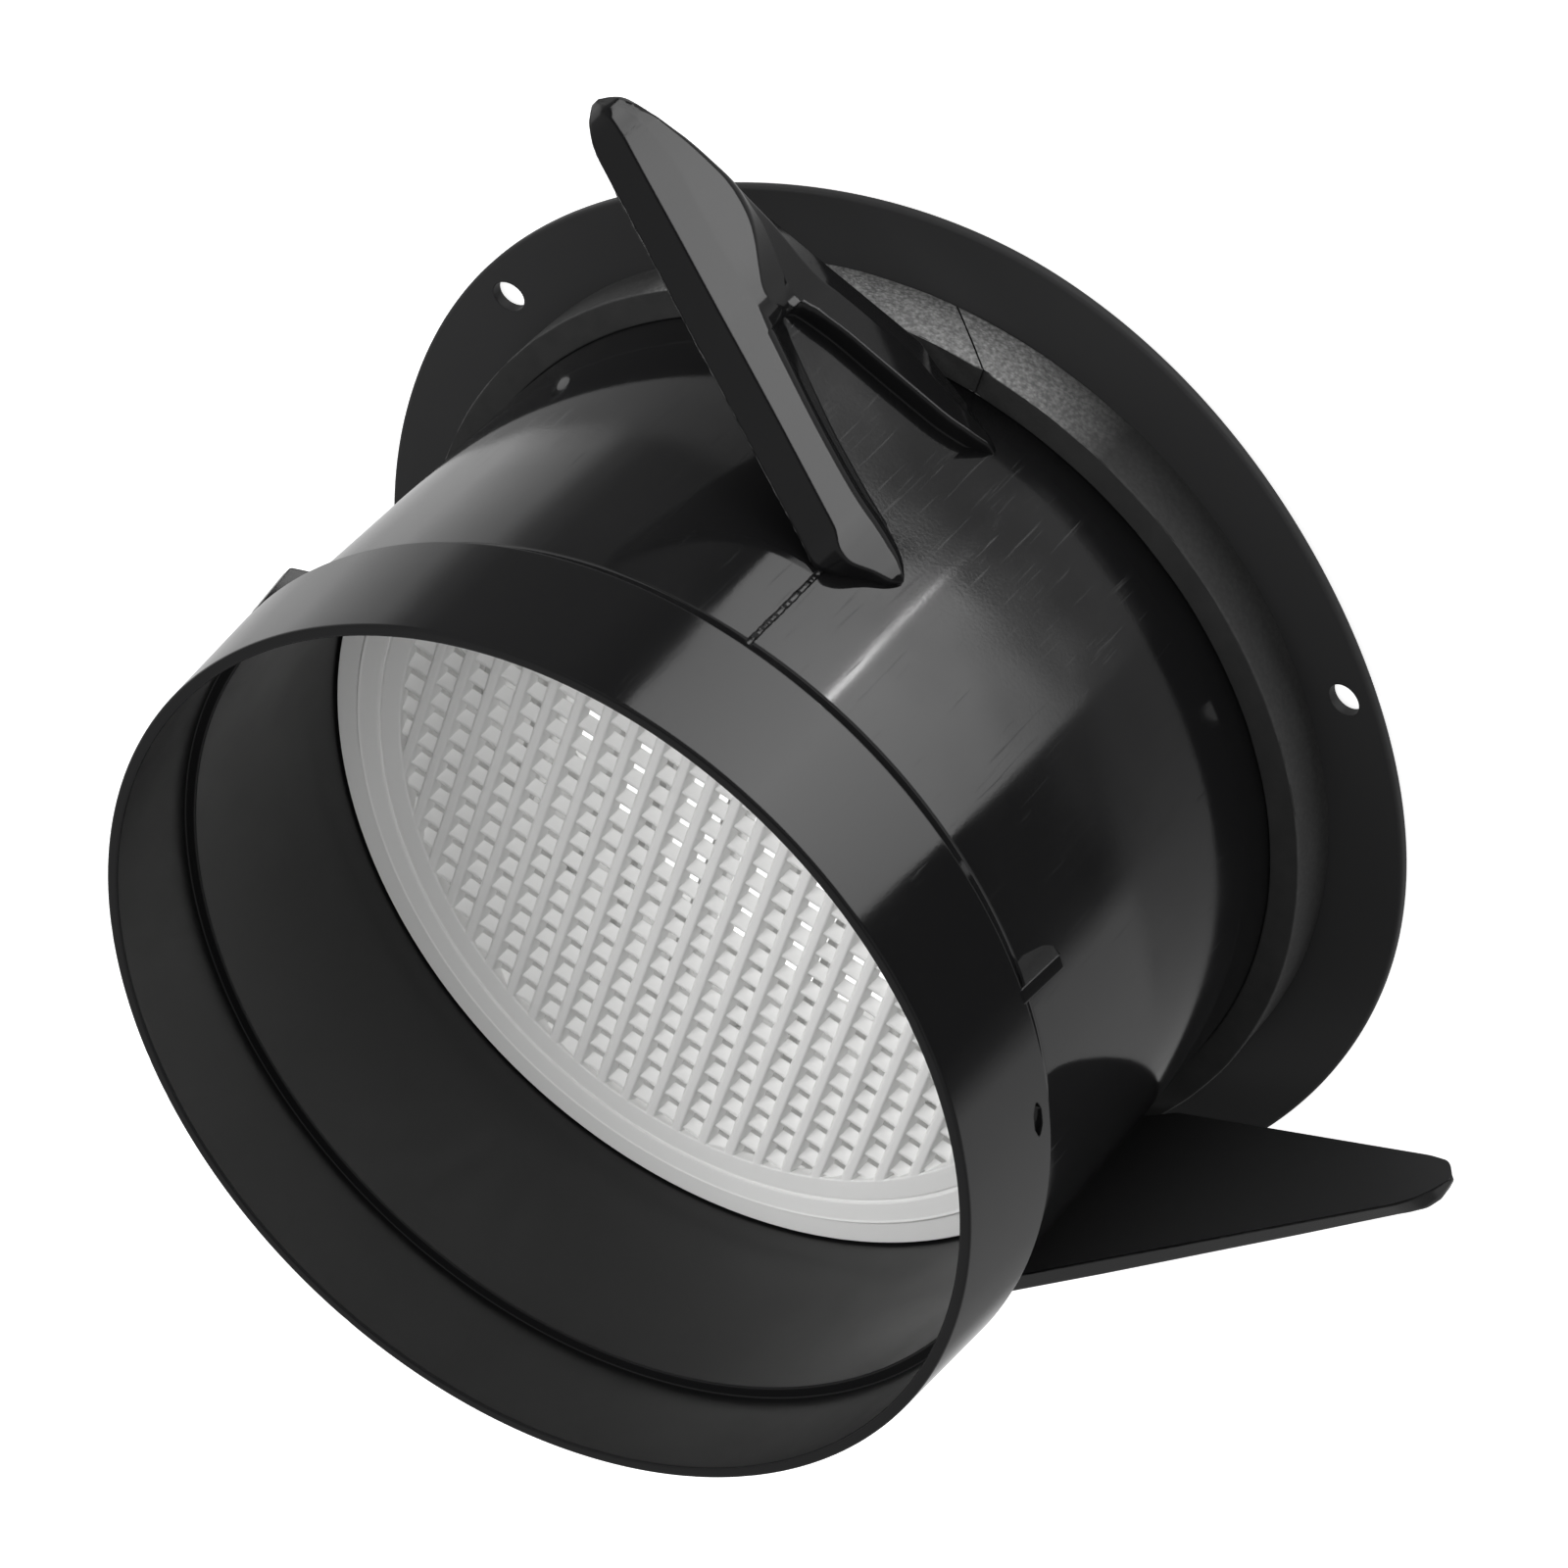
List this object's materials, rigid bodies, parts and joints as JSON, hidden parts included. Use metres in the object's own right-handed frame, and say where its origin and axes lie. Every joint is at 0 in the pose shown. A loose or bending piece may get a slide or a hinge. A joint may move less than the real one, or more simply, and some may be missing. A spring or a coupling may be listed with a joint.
{
  "type": "adjustable air vent",
  "caption": "Round duct vent with a flanged housing, barbed spring wings, foam seal, and a turning core with a grid and linked tilting blades.",
  "frame": {"origin": "on the vent's axis, at the flange's front face, at the centre of the screw holes", "axes": "+Z along the duct axis from the flange's front face to the duct mouth; +X along the blades; +Y across the blades"},
  "size_m": [0.2084, 0.212, 0.1074],
  "materials": {
    "black_plastic": "glossy black moulded plastic",
    "black_foam": "matte speckled foam",
    "white_plastic": "satin white moulded plastic"
  },
  "bodies": {
    "housing": {"housing": "black_plastic", "foam_seal": "black_foam"},
    "core": {"core_ring": "white_plastic", "grid_disc": "white_plastic"},
    "blade_1": {"blade_1": "white_plastic"},
    "blade_2": {"blade_2": "white_plastic"},
    "blade_3": {"blade_3": "white_plastic"},
    "blade_4": {"blade_4": "white_plastic"},
    "blade_5": {"blade_5": "white_plastic"},
    "blade_6": {"blade_6": "white_plastic"},
    "blade_7": {"blade_7": "white_plastic"},
    "blade_8": {"blade_8": "white_plastic"},
    "blade_9": {"blade_9": "white_plastic"},
    "blade_10": {"blade_10": "white_plastic"},
    "blade_11": {"blade_11": "white_plastic"},
    "link_bar": {"link_bar": "white_plastic"}
  },
  "joints": [
    {"name": "core_turn", "type": "hinge", "parent": "housing", "child": "core", "pos_m": [0, 0, 0.006], "axis": [0, 0, 1], "continuous": true},
    {"name": "blade_6_tilt", "type": "hinge", "parent": "core", "child": "blade_6", "pos_m": [0, 0, 0.012], "axis": [1, 0, 0], "range_deg": [-55, 55]},
    {"name": "blade_5_tilt", "type": "hinge", "parent": "core", "child": "blade_5", "pos_m": [0, -0.012, 0.012], "axis": [1, 0, 0], "range_deg": [-55, 55]},
    {"name": "blade_7_tilt", "type": "hinge", "parent": "core", "child": "blade_7", "pos_m": [0, 0.012, 0.012], "axis": [1, 0, 0], "range_deg": [-55, 55]},
    {"name": "blade_4_tilt", "type": "hinge", "parent": "core", "child": "blade_4", "pos_m": [0, -0.024, 0.012], "axis": [1, 0, 0], "range_deg": [-55, 55]},
    {"name": "blade_8_tilt", "type": "hinge", "parent": "core", "child": "blade_8", "pos_m": [0, 0.024, 0.012], "axis": [1, 0, 0], "range_deg": [-55, 55]},
    {"name": "blade_3_tilt", "type": "hinge", "parent": "core", "child": "blade_3", "pos_m": [0, -0.036, 0.012], "axis": [1, 0, 0], "range_deg": [-55, 55]},
    {"name": "blade_9_tilt", "type": "hinge", "parent": "core", "child": "blade_9", "pos_m": [0, 0.036, 0.012], "axis": [1, 0, 0], "range_deg": [-55, 55]},
    {"name": "blade_2_tilt", "type": "hinge", "parent": "core", "child": "blade_2", "pos_m": [0, -0.048, 0.012], "axis": [1, 0, 0], "range_deg": [-55, 55]},
    {"name": "blade_10_tilt", "type": "hinge", "parent": "core", "child": "blade_10", "pos_m": [0, 0.048, 0.012], "axis": [1, 0, 0], "range_deg": [-55, 55]},
    {"name": "blade_1_tilt", "type": "hinge", "parent": "core", "child": "blade_1", "pos_m": [0, -0.06, 0.012], "axis": [1, 0, 0], "range_deg": [-55, 55]},
    {"name": "blade_11_tilt", "type": "hinge", "parent": "core", "child": "blade_11", "pos_m": [0, 0.06, 0.012], "axis": [1, 0, 0], "range_deg": [-55, 55]},
    {"name": "link_swing", "type": "hinge", "parent": "blade_6", "child": "link_bar", "pos_m": [0.015, 0, 0.017], "axis": [1, 0, 0], "range_deg": [-55, 55]}
  ],
  "couplings": [
    {"joint": "blade_5_tilt", "follows": "blade_6_tilt", "ratio": 1},
    {"joint": "blade_7_tilt", "follows": "blade_6_tilt", "ratio": 1},
    {"joint": "blade_4_tilt", "follows": "blade_6_tilt", "ratio": 1},
    {"joint": "blade_8_tilt", "follows": "blade_6_tilt", "ratio": 1},
    {"joint": "blade_3_tilt", "follows": "blade_6_tilt", "ratio": 1},
    {"joint": "blade_9_tilt", "follows": "blade_6_tilt", "ratio": 1},
    {"joint": "blade_2_tilt", "follows": "blade_6_tilt", "ratio": 1},
    {"joint": "blade_10_tilt", "follows": "blade_6_tilt", "ratio": 1},
    {"joint": "blade_1_tilt", "follows": "blade_6_tilt", "ratio": 1},
    {"joint": "blade_11_tilt", "follows": "blade_6_tilt", "ratio": 1},
    {"joint": "link_swing", "follows": "blade_6_tilt", "ratio": -1}
  ]
}
